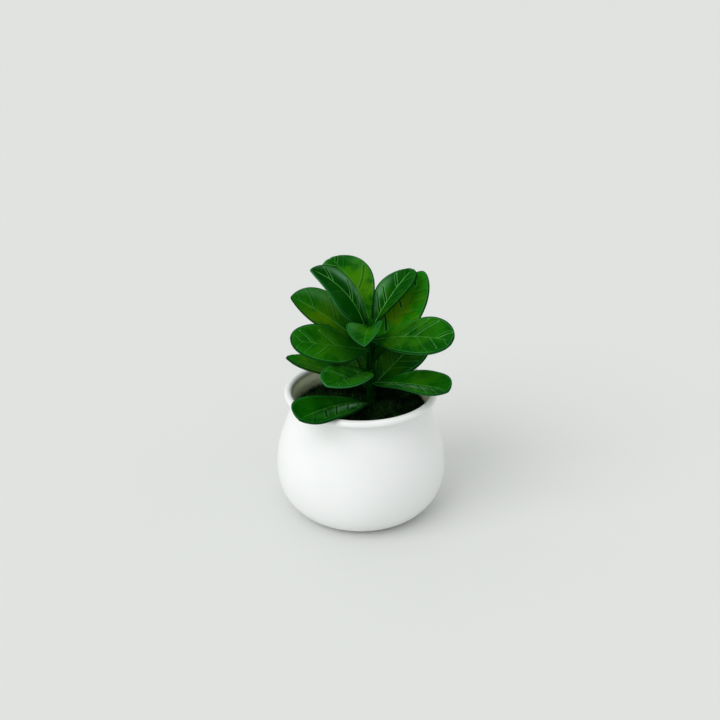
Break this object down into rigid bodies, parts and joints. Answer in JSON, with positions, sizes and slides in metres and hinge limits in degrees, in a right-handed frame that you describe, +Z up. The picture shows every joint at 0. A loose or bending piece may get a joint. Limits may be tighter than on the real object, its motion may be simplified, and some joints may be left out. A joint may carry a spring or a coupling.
{
  "type": "potted succulent",
  "caption": "Small round-bellied white ceramic pot holding a compact rosette of glossy spoon-shaped green leaves above a dark moss mat.",
  "frame": {"origin": "centre of the flat underside of the pot's foot, on the surface the pot stands on", "axes": "+Z up along the pot's axis; the side seen in the picture faces -Y, with +X to its right"},
  "size_m": [0.0806, 0.0804, 0.119],
  "materials": {
    "glaze": "smooth white satin glaze",
    "filler": "rough dark filler",
    "moss": "short dense fibres",
    "stem": "matt green",
    "leaf": "satin leaf with pressed veins"
  },
  "bodies": {
    "root": {"pot": "glaze", "plug": "filler", "moss_mat": "moss", "stem": "stem", "leaf_top_back": "leaf", "leaf_top_left": "leaf", "leaf_top_right": "leaf", "leaf_top_front": "leaf", "leaf_upper_right": "leaf", "leaf_upper_left": "leaf", "leaf_upper_back": "leaf", "leaf_middle_right": "leaf", "leaf_middle_left": "leaf", "leaf_middle_back": "leaf", "leaf_lower_right": "leaf", "leaf_lower_left": "leaf", "leaf_lower_front": "leaf", "leaf_lower_back": "leaf", "leaf_base_right": "leaf", "leaf_base_left": "leaf", "leaf_base_back": "leaf"}
  },
  "joints": []
}
